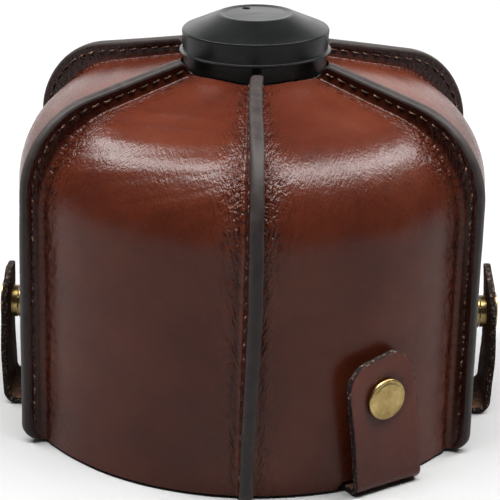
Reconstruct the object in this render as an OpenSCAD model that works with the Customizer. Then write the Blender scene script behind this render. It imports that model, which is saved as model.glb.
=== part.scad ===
/* [Cartridge can] */
// outside radius of the steel can
can_r = 55; // [40:0.5:65]
// radius of the shoulder arc of the can
shoulder_rad = 22.1; // [8:0.1:30]
// height of the centre of the shoulder arc
shoulder_z = 58.6; // [40:0.1:90]
// slope of the dome above the shoulder, degrees
dome_slope = 15; // [5:1:30]
// sheet steel thickness
steel_t = 0.5; // [0.3:0.05:1]
// height of the lowest edge of the can's base seam
rim_z = 1.62; // [1.6:0.02:4]

/* [Valve] */
// radius of the threaded boss
boss_r = 5.556; // [4:0.001:8]
// height of the top of the threaded boss
boss_top = 96.6; // [92:0.1:99]
// height where the thread ends at the boss's shoulder
thread_low = 84.7; // [84.6:0.05:86]
// height of the underside of the boss flange
boss_low = 82.9; // [82:0.1:83]
// centre radius of the valve cup's curl
curl_r = 14.05; // [12:0.05:15]
// height of the curl's centre
curl_z = 87.0; // [86:0.1:88]

/* [Valve cap] */
// radius of the cap's upper side
cap_r = 17.5; // [16:0.1:20]
// height of the cap's bottom edge
cap_low = 86.45; // [86:0.05:88]
// height of the cap's lip
cap_lip_z = 91.9; // [90:0.1:94]
// height of the cap's upper edge
cap_rim_z = 96.6; // [95:0.1:99]
// height of the cap's flat top
cap_top = 100.2; // [99:0.1:104]
// thickness of the cap's wall
cap_wall = 1.25; // [0.8:0.05:2]

/* [Leather cover] */
// thickness of the panel leather
leather_t = 1.75; // [1:0.05:2.5]
// play between can and leather
leather_gap = 0.1; // [0.05:0.05:0.5]
// height of the cover's bottom edge
cover_low = 2.4; // [2:0.1:6]
// radius of the opening round the cap
opening_r = 18.1; // [17.9:0.1:22]
// number of panels
panels = 6; // [4:1:8]

/* [Seam fins] */
// how far the fin stands out from the can
fin_out = 7.0; // [4:0.1:9]
// thickness of one leather layer in a fin
fin_t = 1.5; // [1:0.05:2]
// radius of the fin's edge round the shoulder
fin_edge_rad = 22.6; // [15:0.1:30]
// height of the centre of that arc
fin_edge_z = 63.6; // [50:0.1:75]
// slope of the fin's edge over the dome, degrees
fin_slope = 13; // [5:1:20]
// radius where the fin ends beside the cap
fin_inner_r = 19.3; // [18.5:0.1:25]
// distance from one stitch to the next
stitch_pitch = 3.2; // [2.5:0.1:8]
// length of a stitch
stitch_len = 2.3; // [1.5:0.1:6]
// radius of the thread
thread_r = 0.4; // [0.2:0.05:0.6]

/* [Straps] */
// width of the straps
strap_w = 18.8; // [10:0.1:30]
// thickness of the strap leather
strap_t = 1.6; // [1:0.1:3]
// direction of the first strap, degrees from the front seam
strap_a_az = 33.5; // [20:0.5:40]
// direction of the second strap, degrees from the front seam
strap_b_az = 90; // [80:1:100]
// radius of the outside face of an upright tab
tab_out_r = 61.0; // [60:0.1:64]
// height of the top edge of a tab
tab_top = 35; // [28:0.5:45]
// larger corner radius at the top of a tab
tab_corner = 7.5; // [4:0.5:9]
// smaller corner radius at the top of a tab
tab_corner_small = 5; // [2:0.5:9]
// how far the larger corner sits below the smaller one
tab_drop = 1.4; // [0:0.1:4]
// sideways lean of the first strap's tabs, degrees
tab_lean = 5.7; // [0:0.1:10]

/* [Snaps] */
// height of the snaps
snap_z = 24.2; // [15:0.1:35]
// radius of the snap's outer cap
snap_r = 5.0; // [4:0.1:7]
// sideways place of the first strap's snaps
snap_side = -1.7; // [-4:0.1:2]

/* [Hidden] */
$fn = 64;
tiny_gap = 0.03;
cut_size = 200;
panel_step = 360 / panels;
leather_out = leather_gap + leather_t;
panel_face = can_r + leather_out;
shell_gap = 0.3;
fin_edge_r = can_r + fin_out;
housing_low = 76;
housing_r = 3.95;
housing_h = 14.3;
gasket_h = 1.45;
shaft_r = 1.6;
spring_len = 11.04;
wire_r = 0.28;
tab_in_r = tab_out_r - strap_t;
tab_mid_r = tab_out_r - strap_t / 2;
hinge_z = strap_t / 2;
strap_end = tab_mid_r - strap_t / 2 - 0.3;
hump_half = 17.2;
hump_run = 8;
hump_rise = strap_t + 0.05;
stud_face = panel_face + 0.6;
rivet_r = 1.4;
snap_front_right_at = [strap_a_az, snap_side];
snap_right_at = [strap_b_az, 0];
snap_back_left_at = [strap_a_az + 180, snap_side];
snap_left_at = [strap_b_az + 180, 0];
head_r = 3.6;
stitch_in = 2.4;
stitch_low = 7;
seam_arc = fin_edge_rad - stitch_in;
seam_arc_r = fin_edge_r - fin_edge_rad;
seam_arc_len = seam_arc * (90 - fin_slope) * PI / 180;
seam_top_len = (seam_arc_r + seam_arc * sin(fin_slope) - fin_inner_r - 2.4) / cos(fin_slope);
seam_wall_len = fin_edge_z - stitch_low;
stitch_count = floor((seam_wall_len + seam_arc_len + seam_top_len) / stitch_pitch);

steel = [0.72, 0.73, 0.74];
brass = [0.42, 0.33, 0.22];
brown = [0.36, 0.2, 0.16];
thread_brown = [0.2, 0.11, 0.09];
black = [0.12, 0.12, 0.13];
rubber = [0.08, 0.08, 0.08];

// side line from the bottom up, round a shoulder arc and up a slope to a radius
function side_line(wall_r, arc, arc_z, slope, low, to_r) =
  let (steps = 20, turn = 90 - slope, mid_r = wall_r - arc)
  concat([[wall_r, low]],
    [for (i = [0 : steps]) [mid_r + arc * cos(i * turn / steps), arc_z + arc * sin(i * turn / steps)]],
    [[to_r, arc_z + arc * sin(turn) + (mid_r + arc * cos(turn) - to_r) * tan(slope)]]);

// the can's side line, grown by a given amount
function can_line(grow, low, to_r) =
  side_line(can_r + grow, shoulder_rad + grow, shoulder_z, dome_slope, low, to_r);

function backwards(list) = [for (i = [len(list) - 1 : -1 : 0]) list[i]];

// sheet between two side lines of the can
module can_band(outer, inner, low, to_r) {
  polygon(concat(can_line(outer, low, to_r), backwards(can_line(inner, low, to_r))));
}

// a flat disc or ring standing on a panel, facing outward; place is [direction, sideways distance]
module face_ring(place, from_r, to_r, r_out, r_in) {
  rotate([0, 0, place[0]]) translate([place[1], -from_r, snap_z]) rotate([90, 0, 0]) difference() {
    cylinder(r = r_out, h = to_r - from_r);
    if (r_in > 0) translate([0, 0, -1]) cylinder(r = r_in, h = to_r - from_r + 2);
  }
}

// ---- can ----

module can_shell() {
  color(steel) rotate_extrude() {
    can_band(-shell_gap, -shell_gap - steel_t, rim_z + 3.2, curl_r + 0.15);
    translate([curl_r - 0.1, curl_z - 0.55]) circle(r = 0.95, $fn = 48);
  }
}

module can_base() {
  foot_r = can_r - 3.0;
  color(steel) rotate_extrude() polygon([[0, 14.2], [20, 13.2], [38, 10.2], [foot_r - 1.2, 7.2],
    [foot_r, 5.8], [foot_r, rim_z + 1.6], [foot_r + 1.5, rim_z + 1.6], [foot_r + 1.5, rim_z + 3.1],
    [can_r - 0.2, rim_z + 3.1], [can_r, rim_z + 2.7], [can_r, rim_z + 0.5], [can_r - 0.5, rim_z],
    [foot_r + 0.1, rim_z], [foot_r - 0.6, rim_z + 0.6], [foot_r - 0.6, 5.5], [foot_r - 1.6, 6.6],
    [38, 9.6], [20, 12.6], [0, 13.6]]);
}

// ---- valve ----

module valve_cup() {
  bead_r = 1.95;
  floor_z = 84.0;
  well_r = curl_r - bead_r;
  color(steel) rotate_extrude() {
    difference() {
      translate([curl_r, curl_z]) circle(r = bead_r);
      translate([curl_r, curl_z]) circle(r = bead_r - steel_t);
      translate([curl_r - 3, curl_z - 3.4]) square([6, 3]);
    }
    translate([well_r, floor_z + 0.2]) square([steel_t, curl_z - floor_z - 0.2]);
    translate([boss_r + 0.65, floor_z]) square([well_r + 0.3 - boss_r - 0.65, steel_t]);
  }
}

module cup_gasket() {
  color(rubber) rotate_extrude() translate([curl_r - 0.85, curl_z + 0.5]) square([1.5, 0.45]);
}

module valve_boss() {
  flange_r = 7.2;
  pocket_r = 4.0;
  pocket_top = 92.0;
  bore_r = 2.4;
  color(steel) difference() {
    union() {
      translate([0, 0, boss_low]) cylinder(r = flange_r, h = 1.0);
      translate([0, 0, boss_low]) cylinder(r = boss_r + 0.6, h = thread_low - boss_low);
      translate([0, 0, boss_low]) cylinder(r = boss_r, h = boss_top - boss_low);
    }
    translate([0, 0, boss_low - 1]) cylinder(r = pocket_r, h = pocket_top - boss_low + 1);
    translate([0, 0, boss_low]) cylinder(r = bore_r, h = boss_top - boss_low + 5);
  }
}

module valve_housing() {
  floor_h = 1;
  color(black) translate([0, 0, housing_low]) difference() {
    cylinder(r = housing_r, h = housing_h);
    translate([0, 0, floor_h]) cylinder(r = housing_r - floor_h, h = housing_h);
    translate([0, 0, -1]) cylinder(r = 0.8, h = floor_h + 3);
  }
}

module stem_gasket() {
  color(rubber) translate([0, 0, housing_low + housing_h + 0.1]) difference() {
    cylinder(r = housing_r - 0.05, h = gasket_h);
    translate([0, 0, -1]) cylinder(r = shaft_r + 0.06, h = gasket_h + 2);
  }
}

module valve_stem() {
  tail_h = 9;
  collar_h = 1.6;
  color(brass) translate([0, 0, housing_low + 4.7]) {
    cylinder(r = 1.3, h = tail_h);
    translate([0, 0, tail_h - 1]) cylinder(r = 2.6, h = collar_h);
    translate([0, 0, tail_h]) cylinder(r = shaft_r, h = 5);
  }
}

module valve_spring() {
  turns = 6;
  mean_r = 2.0;
  rise = spring_len / turns / 2;
  tilt = asin(rise / (2 * mean_r));
  color(steel) translate([0, 0, housing_low + 1.32]) for (i = [0 : 2 * turns - 1]) {
    side = i % 2 == 0 ? -1 : 1;
    translate([0, 0, rise * (i + 0.5)]) rotate([0, side * tilt, 0]) rotate([0, 0, side < 0 ? 0 : 180])
      rotate_extrude(angle = 180) translate([mean_r, 0]) circle(r = wire_r, $fn = 24);
  }
}

module valve_cap() {
  inner_r = cap_r - cap_wall;
  dish_r = 8.4;
  color(black) difference() {
    rotate_extrude() difference() {
      polygon([[0, cap_low], [cap_r - 0.35, cap_low], [cap_r - 0.3, cap_lip_z], [cap_r + 0.4, cap_lip_z],
        [cap_r + 0.4, cap_lip_z + 0.5], [cap_r - 0.1, cap_lip_z + 0.9], [cap_r, cap_rim_z - 0.3],
        [cap_r - 0.3, cap_rim_z], [dish_r + 0.4, cap_top], [dish_r - 0.8, cap_top - 0.25],
        [0, cap_top - 0.35]]);
      polygon([[-1, cap_low - 1], [inner_r, cap_low - 1], [inner_r, cap_rim_z - cap_wall - 0.25],
        [dish_r, cap_top - 1.6], [-1, cap_top - 1.6]]);
    }
    translate([-2.9, 5.8, cap_top - 0.8]) cylinder(r = 0.75, h = 2, $fn = 32);
  }
}

// ---- leather cover ----

module fin_plate() {
  low_corner = 3.5;
  top_corner = 2.1;
  edge = side_line(fin_edge_r, fin_edge_rad, fin_edge_z, fin_slope, cover_low, fin_inner_r);
  root = can_line(leather_out / 2, cover_low, fin_inner_r);
  rotate([0, 0, -90]) rotate([90, 0, 0]) linear_extrude(fin_t) difference() {
    polygon(concat(edge, backwards(root)));
    translate([fin_edge_r - low_corner, cover_low - 0.1]) difference() {
      square([low_corner + 0.5, low_corner + 0.1]);
      translate([0, low_corner + 0.1]) circle(r = low_corner);
    }
    translate([fin_inner_r - 0.1, 89.0]) difference() {
      square([top_corner - 0.1, 4]);
      translate([top_corner, 0.4]) circle(r = top_corner);
    }
  }
}

module gore(az, snap_place) {
  half = panel_step / 2;
  color(brown) difference() {
    rotate([0, 0, az]) {
      difference() {
        rotate([0, 0, -90 - half]) rotate_extrude(angle = panel_step, $fn = 180)
          can_band(leather_out, leather_gap, cover_low, opening_r);
        rotate([0, 0, -half]) translate([tiny_gap - cut_size, -cut_size / 2, -1])
          cube([cut_size, cut_size / 2, cut_size]);
        rotate([0, 0, half]) translate([-tiny_gap, -cut_size / 2, -1])
          cube([cut_size, cut_size / 2, cut_size]);
      }
      rotate([0, 0, -half]) translate([tiny_gap + fin_t, 0, 0]) fin_plate();
      rotate([0, 0, half]) translate([-tiny_gap, 0, 0]) fin_plate();
    }
    if (snap_place != undef) {
      face_ring(snap_place, can_r - 2, can_r + 0.7, head_r + 0.1, 0);
      face_ring(snap_place, can_r - 2, can_r + 4, rivet_r + 0.05, 0);
    }
  }
}

module gore_front_right() { gore(30, snap_front_right_at); }

module gore_right() { gore(90, snap_right_at); }

module gore_back_right() { gore(150, undef); }

module gore_back_left() { gore(210, snap_back_left_at); }

module gore_left() { gore(270, snap_left_at); }

module gore_front_left() { gore(330, undef); }

// one stitch on each side of a fin, at a distance along the seam line
module stitch(s) {
  on_arc = s - seam_wall_len;
  on_top = on_arc - seam_arc_len;
  turn = on_arc < 0 ? 0 : (on_top < 0 ? on_arc / seam_arc * 180 / PI : 90 - fin_slope);
  slide = max(on_top, 0);
  rr = seam_arc_r + seam_arc * cos(turn) - slide * sin(turn);
  arc_top = fin_edge_z + seam_arc * sin(turn) + slide * cos(turn);
  zz = on_arc < 0 ? stitch_low + s : arc_top;
  for (side = [-1, 1]) {
    translate([side * (tiny_gap * 2 + fin_t + thread_r), -rr, zz]) rotate([-turn, 0, 0])
      cylinder(r = thread_r, h = stitch_len, center = true, $fn = 16);
  }
}

module seam_thread(az) {
  color(thread_brown) rotate([0, 0, az]) for (i = [0 : stitch_count - 1]) stitch((i + 0.5) * stitch_pitch);
}

module thread_front() { seam_thread(0); }

module thread_front_right() { seam_thread(60); }

module thread_back_right() { seam_thread(120); }

module thread_back() { seam_thread(180); }

module thread_back_left() { seam_thread(240); }

module thread_front_left() { seam_thread(300); }

// ---- straps and tabs ----

module strap_a_base() {
  color(brown) rotate([0, 0, strap_a_az - 90])
    translate([-strap_end, -strap_w / 2, 0]) cube([2 * strap_end, strap_w, strap_t]);
}

module strap_b_base() {
  foot = hump_half + hump_run;
  color(brown) rotate([0, 0, strap_b_az - 90]) translate([0, strap_w / 2, 0]) rotate([90, 0, 0])
    linear_extrude(strap_w) polygon([[-strap_end, 0], [-foot, 0], [-hump_half, hump_rise],
      [hump_half, hump_rise], [foot, 0], [strap_end, 0], [strap_end, strap_t], [foot - 0.4, strap_t],
      [hump_half - 0.4, hump_rise + strap_t], [0.4 - hump_half, hump_rise + strap_t],
      [0.4 - foot, strap_t], [-strap_end, strap_t]]);
}

// half of a tab's rounded tip: an arc round a centre, as points, leaned sideways
function tip_arc(mid_x, mid_z, r, from_turn, to_turn, lean) =
  let (steps = 8)
  [for (i = [0 : steps])
    let (turn = from_turn + (to_turn - from_turn) * i / steps, z = mid_z + r * sin(turn))
    [mid_x + r * cos(turn) - (z - hinge_z) * tan(lean), z]];

module tab(place, lean) {
  half = strap_w / 2;
  small = tab_corner_small;
  tip_slope = 8;
  low_z = tab_top - tab_corner - tab_drop;
  color(brown) rotate([0, 0, place[0]]) difference() {
    union() {
      translate([0, -tab_in_r, 0]) rotate([90, 0, 0]) linear_extrude(strap_t)
        polygon(concat([[-half, hinge_z], [half, hinge_z]],
          tip_arc(half - small, tab_top - small, small, 0, 90 + tip_slope, lean),
          tip_arc(tab_corner - half, low_z, tab_corner, 90 + tip_slope, 180, lean)));
      translate([-half, -tab_mid_r, hinge_z]) rotate([0, 90, 0]) cylinder(r = strap_t / 2, h = strap_w);
    }
    translate([place[1], -tab_in_r + 1, snap_z]) rotate([90, 0, 0]) cylinder(r = 1.55, h = 5);
  }
}

module tab_front_right() { tab(snap_front_right_at, tab_lean); }

module tab_right() { tab(snap_right_at, 0); }

module tab_back_left() { tab(snap_back_left_at, tab_lean); }

module tab_left() { tab(snap_left_at, 0); }

// ---- snaps ----

module snap_cap(place) {
  neck_r = 1.5;
  flare_r = 1.95;
  color(brass) rotate([0, 0, place[0]]) translate([place[1], -tab_out_r - 0.02, snap_z]) rotate([90, 0, 0]) {
    rotate_extrude() difference() {
      polygon([[0, 0], [snap_r - 0.3, 0], [snap_r, 0.3], [snap_r, 0.5], [snap_r - 0.5, 0.85],
        [snap_r - 1.2, 0.95], [2.2, 1.1], [0, 1.15]]);
      translate([-1, -1]) square([1, 4]);
    }
    translate([0, 0, -2.1]) cylinder(r = neck_r, h = 2.2);
    translate([0, 0, -2.32]) cylinder(r = flare_r, h = 0.26);
  }
}

module snap_socket(place) {
  inner = tab_in_r - 0.02;
  color(brass) difference() {
    face_ring(place, inner - 1.55, inner, 4.0, 1.55);
    face_ring(place, inner - 3, inner - 0.36, 2.2, 0);
  }
}

module snap_stud(place) {
  color(brass) difference() {
    union() {
      face_ring(place, panel_face + 0.02, stud_face, 4.2, 0);
      face_ring(place, panel_face + 0.02, tab_in_r - 1.0, 1.8, 0);
    }
    face_ring(place, panel_face - 2, stud_face + 0.4, rivet_r + 0.05, 0);
  }
}

module snap_post(place) {
  back = can_r + leather_gap + 0.04;
  color(brass) {
    face_ring(place, back, back + 0.5, head_r, 0);
    face_ring(place, back, stud_face + 0.3, rivet_r, 0);
  }
}

module snap_cap_front_right() { snap_cap(snap_front_right_at); }

module snap_socket_front_right() { snap_socket(snap_front_right_at); }

module snap_stud_front_right() { snap_stud(snap_front_right_at); }

module snap_post_front_right() { snap_post(snap_front_right_at); }

module snap_cap_right() { snap_cap(snap_right_at); }

module snap_socket_right() { snap_socket(snap_right_at); }

module snap_stud_right() { snap_stud(snap_right_at); }

module snap_post_right() { snap_post(snap_right_at); }

module snap_cap_back_left() { snap_cap(snap_back_left_at); }

module snap_socket_back_left() { snap_socket(snap_back_left_at); }

module snap_stud_back_left() { snap_stud(snap_back_left_at); }

module snap_post_back_left() { snap_post(snap_back_left_at); }

module snap_cap_left() { snap_cap(snap_left_at); }

module snap_socket_left() { snap_socket(snap_left_at); }

module snap_stud_left() { snap_stud(snap_left_at); }

module snap_post_left() { snap_post(snap_left_at); }

// ---- drawing ----

can_shell();
can_base();
valve_cup();
cup_gasket();
valve_boss();
valve_housing();
stem_gasket();
valve_stem();
valve_spring();
valve_cap();
gore_front_right();
gore_right();
gore_back_right();
gore_back_left();
gore_left();
gore_front_left();
thread_front();
thread_front_right();
thread_back_right();
thread_back();
thread_back_left();
thread_front_left();
strap_a_base();
strap_b_base();
tab_front_right();
tab_right();
tab_back_left();
tab_left();
snap_cap_front_right();
snap_socket_front_right();
snap_stud_front_right();
snap_post_front_right();
snap_cap_right();
snap_socket_right();
snap_stud_right();
snap_post_right();
snap_cap_back_left();
snap_socket_back_left();
snap_stud_back_left();
snap_post_back_left();
snap_cap_left();
snap_socket_left();
snap_stud_left();
snap_post_left();
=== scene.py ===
"""Looks of a gas cartridge in a six-panel leather cover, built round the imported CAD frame.

Lengths in the shape functions are millimetres and turn into metres when a mesh is made.
Azimuth runs from the front seam (-Y) towards the right (+X), in degrees.
"""

import math

import bmesh
import bpy
import numpy as np
from mathutils import Matrix, Vector


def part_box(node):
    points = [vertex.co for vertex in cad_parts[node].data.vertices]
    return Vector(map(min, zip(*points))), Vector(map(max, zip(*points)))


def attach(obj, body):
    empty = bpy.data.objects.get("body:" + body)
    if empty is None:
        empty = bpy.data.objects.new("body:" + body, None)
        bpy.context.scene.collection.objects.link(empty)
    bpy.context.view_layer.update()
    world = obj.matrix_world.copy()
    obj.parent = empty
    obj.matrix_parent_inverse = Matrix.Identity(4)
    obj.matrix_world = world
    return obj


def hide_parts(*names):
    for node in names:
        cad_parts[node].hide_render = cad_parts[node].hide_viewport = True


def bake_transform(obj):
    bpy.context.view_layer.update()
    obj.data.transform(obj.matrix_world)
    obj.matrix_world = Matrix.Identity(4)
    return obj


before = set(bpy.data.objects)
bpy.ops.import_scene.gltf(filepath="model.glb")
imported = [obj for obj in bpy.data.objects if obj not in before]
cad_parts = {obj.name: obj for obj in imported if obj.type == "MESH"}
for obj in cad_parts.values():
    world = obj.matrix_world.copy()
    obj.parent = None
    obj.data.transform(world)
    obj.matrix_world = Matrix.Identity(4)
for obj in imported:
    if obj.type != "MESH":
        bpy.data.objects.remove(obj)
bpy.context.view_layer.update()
MM = 0.001
MERGE = 1e-7  # metres; mesh points closer than this are one point


def box_mm(node):
    """Lowest and highest corner of a CAD node, in millimetres."""
    low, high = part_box(node)
    return np.array(low) / MM, np.array(high) / MM


# ---- sizes read from the frame ----
COVER_LOW = box_mm("gore_front_right")[0][2]
FIN_R = -box_mm("gore_front_right")[0][1]
CAN_R = box_mm("can_base")[1][0]
CAP_LOW, CAP_TOP = box_mm("valve_cap")[0][2], box_mm("valve_cap")[1][2]
TAB_IN, TAB_OUT = box_mm("tab_right")[0][0], box_mm("tab_right")[1][0]
TAB_TOP = box_mm("tab_right")[1][2]
STRAP_W = box_mm("tab_right")[1][1] - box_mm("tab_right")[0][1]
STRAP_T = TAB_OUT - TAB_IN
BOSS_TOP = box_mm("valve_boss")[1][2]
SNAP_Z = (box_mm("snap_cap_right")[0][2] + box_mm("snap_cap_right")[1][2]) / 2
SNAP_R = (box_mm("snap_cap_right")[1][2] - box_mm("snap_cap_right")[0][2]) / 2

# ---- sizes of the straps ----
FOLD_R = 2.6
TAB_CORNER = 9.0
HINGE_R = (TAB_IN + TAB_OUT) / 2
STRAP_FLAT = HINGE_R - FOLD_R

# ---- sizes of the leather cover ----
SEAMS = [0, 60, 120, 180, 240, 300]
GORES = {
    "gore_front_right": 30,
    "gore_right": 90,
    "gore_back_right": 150,
    "gore_back_left": 210,
    "gore_left": 270,
    "gore_front_left": 330,
}
THREADS = {
    "thread_front": 0,
    "thread_front_right": 60,
    "thread_back_right": 120,
    "thread_back": 180,
    "thread_back_left": 240,
    "thread_front_left": 300,
}
# Azimuths of the tabs, how far they lean over, and how far their snaps sit to the side of their middles.
TABS = {"front_right": 33.5, "right": 90, "back_left": 213.5, "left": 270}
TAB_LEAN = {"front_right": math.radians(7.9), "back_left": math.radians(7.9), "right": 0.0, "left": 0.0}
SNAP_SIDE = {"front_right": -2.4, "back_left": -2.4, "right": 0.0, "left": 0.0}
# Sideways wander of the front fin's outer edge: distance up from the bottom edge, and shift to the right.
FRONT_SWAY = [
    (0, 0.2), (16, 0.45), (30, 1.1), (46, 1.8), (56, 1.8), (70, 1.4), (80, 1.1), (95, 0.5), (104, 0.6), (110, 1.2),
    (114, 1.4),
]
EDGE_DROP = 1.7
LEATHER_T = 1.75
PANEL_R = CAN_R + 1.85
SHOULDER_R = 32.9
SHOULDER_Z = 58.6
PANEL_ARC = PANEL_R - SHOULDER_R
DOME_SLOPE = math.radians(15)
OPENING_R = 17.7
FIN_H = FIN_R - PANEL_R
FIN_T = 1.55
FIN_ARC = 22.6
FIN_ARC_R = FIN_R - FIN_ARC
FIN_ARC_Z = 63.6
FIN_SLOPE = math.radians(13)
FIN_CORNER = 3.5
FIN_FILLET = 1.3
# Rounded cut edge of a fin: distance from the seam's plane, and drop below the fin's crest.
FIN_EDGE = ((0.0, 0.0), (0.35, 0.01), (0.7, 0.05), (1.0, 0.14), (1.25, 0.3), (1.45, 0.56), (FIN_T, 0.9))
STITCH_PITCH = 3.2
STITCH_DEPTH = 2.4
THREAD_R = 0.28
PUCKER_H, PUCKER_REACH = 0.13, 1.8
CREASE_H, CREASE_REACH, CREASE_SLANT = 0.26, 3.2, 0.33
STEEP_H, STEEP_REACH, STEEP_SLANT = 0.36, 4.2, 0.65
CRINKLE_REACH = 2.8

WALL_LEN = SHOULDER_Z - COVER_LOW
ARC_LEN = PANEL_ARC * (math.pi / 2 - DOME_SLOPE)
DOME_LEN = (SHOULDER_R + PANEL_ARC * math.sin(DOME_SLOPE) - OPENING_R) / math.cos(DOME_SLOPE)
SIDE_LEN = WALL_LEN + ARC_LEN + DOME_LEN


# ---- noise ----
def hash01(i, j, seed):
    """Repeatable pseudo-random numbers from 0 to 1 at whole-number places."""
    h = np.sin(i * 127.1 + j * 311.7 + seed * 74.7) * 43758.5453
    return h - np.floor(h)


def noise(u, v, seed=0):
    """Smooth value noise, from -1 to 1."""
    u, v = np.broadcast_arrays(np.asarray(u, float), np.asarray(v, float))
    iu, iv = np.floor(u), np.floor(v)
    fu, fv = u - iu, v - iv
    fu, fv = fu * fu * (3 - 2 * fu), fv * fv * (3 - 2 * fv)
    low = hash01(iu, iv, seed) * (1 - fu) + hash01(iu + 1, iv, seed) * fu
    high = hash01(iu, iv + 1, seed) * (1 - fu) + hash01(iu + 1, iv + 1, seed) * fu
    return 2 * (low * (1 - fv) + high * fv) - 1


def fractal(u, v, seed):
    """Three layers of noise, each half the size of the one before."""
    total, size = 0.0, 1.0
    for k in range(3):
        total = total + size * noise(u * 2**k, v * 2**k, seed + 17 * k)
        size *= 0.5
    return total / 1.75


# ---- mesh helpers ----
def new_object(name, verts_mm, faces, materials, face_material=None):
    """A smooth-shaded mesh object from points in millimetres."""
    mesh = bpy.data.meshes.new(name)
    mesh.from_pydata((np.asarray(verts_mm) * MM).tolist(), [], [list(map(int, f)) for f in faces])
    for m in materials:
        mesh.materials.append(m)
    if face_material is not None:
        mesh.polygons.foreach_set("material_index", np.asarray(face_material, np.int32))
    mesh.polygons.foreach_set("use_smooth", np.ones(len(mesh.polygons), bool))
    mesh.update()
    mesh.validate()
    obj = bpy.data.objects.new(name, mesh)
    bpy.context.scene.collection.objects.link(obj)
    return obj


def add_value(obj, name, values):
    """A number for each point, that materials read by name."""
    attribute = obj.data.attributes.new(name, "FLOAT", "POINT")
    attribute.data.foreach_set("value", np.asarray(values, np.float32))


def grid_faces(rows, cols, start=0, wrap=False):
    """Quads of a grid of points; wrap joins the last column to the first."""
    r, c = np.meshgrid(np.arange(rows - 1), np.arange(cols if wrap else cols - 1), indexing="ij")
    r, c = r.ravel(), c.ravel()
    n = (c + 1) % cols
    return np.stack([r * cols + c, r * cols + n, (r + 1) * cols + n, (r + 1) * cols + c], 1) + start


def rounded(points, steps=5):
    """A closed outline whose corners (x, y, radius) are rounded, with some steps to each."""
    out = []
    n = len(points)
    for i, (x, y, rad) in enumerate(points):
        p = np.array([x, y], float)
        if rad <= 0:
            out.append(p)
            continue
        a = np.array(points[i - 1][:2], float) - p
        b = np.array(points[(i + 1) % n][:2], float) - p
        la, lb = np.linalg.norm(a), np.linalg.norm(b)
        a, b = a / la, b / lb
        half = math.acos(max(-1, min(1, float(a @ b)))) / 2
        reach = min(rad / math.tan(half), la * 0.48, lb * 0.48)
        for t in np.linspace(0, 1, steps):
            out.append((1 - t) ** 2 * (p + a * reach) + 2 * t * (1 - t) * p + t * t * (p + b * reach))
    return np.array(out)


def revolve(name, outline, materials, segments, sharp, place=None, shape=None):
    """A closed outline (r, z) turned about the Z axis. shape moves its points, and place maps the turned ones."""
    outline = np.asarray(outline, float)
    turn = np.arange(segments) * 2 * math.pi / segments
    r = outline[:, 0][:, None] * np.ones(segments)
    z = outline[:, 1][:, None] * np.ones(segments)
    t = turn[None, :] * np.ones(len(outline))[:, None]
    if shape:
        r, z = shape(r, z, t)
    verts = np.stack([r * np.sin(t), -r * np.cos(t), z], -1).reshape(-1, 3)
    faces = []
    k = len(outline)
    for i in range(k):
        j = (i + 1) % k
        if outline[i, 0] < 1e-6 and outline[j, 0] < 1e-6:
            continue
        for c in range(segments):
            n = (c + 1) % segments
            faces.append((i * segments + c, j * segments + c, j * segments + n, i * segments + n))
    verts = place(verts) if place else verts
    obj = new_object(name, verts, faces, materials)
    tidy(obj, sharp)
    return obj


def tidy(obj, sharp):
    """Joins doubled points, drops flat slivers, turns the faces outward and marks edges sharper than an angle."""
    bm = bmesh.new()
    bm.from_mesh(obj.data)
    bmesh.ops.remove_doubles(bm, verts=bm.verts, dist=MERGE)
    bmesh.ops.dissolve_degenerate(bm, edges=bm.edges, dist=MERGE)
    bmesh.ops.recalc_face_normals(bm, faces=bm.faces)
    bm.to_mesh(obj.data)
    bm.free()
    obj.data.update()
    obj.data.set_sharp_from_angle(angle=math.radians(sharp))


def outward(az, verts):
    """Turns points made round +Z so that +Z points outward at an azimuth, and +Y points up."""
    a = math.radians(az)
    out = np.array([math.sin(a), -math.cos(a), 0])
    side = np.array([math.cos(a), math.sin(a), 0])
    up = np.array([0, 0, 1])
    return verts[:, :1] * side + verts[:, 1:2] * up + verts[:, 2:3] * out


# ---- shape of the cover ----
def meridian(s):
    """Panel's outer surface: radius, height and lean of the normal at a distance up from the bottom edge."""
    s = np.asarray(s, float)
    turn = np.clip((s - WALL_LEN) / PANEL_ARC, 0, math.pi / 2 - DOME_SLOPE)
    top = np.maximum(s - WALL_LEN - ARC_LEN, 0)
    r = SHOULDER_R + PANEL_ARC * np.cos(turn) - top * np.sin(turn)
    z = np.where(s < WALL_LEN, COVER_LOW + s, SHOULDER_Z + PANEL_ARC * np.sin(turn) + top * np.cos(turn))
    return r, z, turn


def fin_height(s):
    """How far the fin stands out from the panel, along the panel's normal, rounded off at both ends."""
    s = np.asarray(s, float)
    r, z, turn = meridian(s)
    nr, nz = np.cos(turn), np.sin(turn)
    wall = (FIN_R - r) / nr
    sr, sz = math.sin(FIN_SLOPE), math.cos(FIN_SLOPE)
    slope = ((FIN_ARC_R + FIN_ARC * sr - r) * sr + (FIN_ARC_Z + FIN_ARC * sz - z) * sz) / (nr * sr + nz * sz)
    dr, dz = r - FIN_ARC_R, z - FIN_ARC_Z
    b = dr * nr + dz * nz
    arc = -b + np.sqrt(np.maximum(b * b - (dr * dr + dz * dz - FIN_ARC**2), 0))
    lean = np.arctan2(dz + arc * nz, dr + arc * nr)
    h = np.where(lean < 0, wall, np.where(lean > math.pi / 2 - FIN_SLOPE, slope, arc))
    low = np.clip(FIN_CORNER - s, 0, FIN_CORNER)
    h = h - (FIN_CORNER - np.sqrt(np.maximum(FIN_CORNER**2 - low**2, 0)))
    left = np.clip(1 - (SIDE_LEN - 0.7 - s) / 1.5, 0, 1)
    return np.maximum(h * np.sqrt(np.maximum(1 - left**2, 0)), 0.45)


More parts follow.
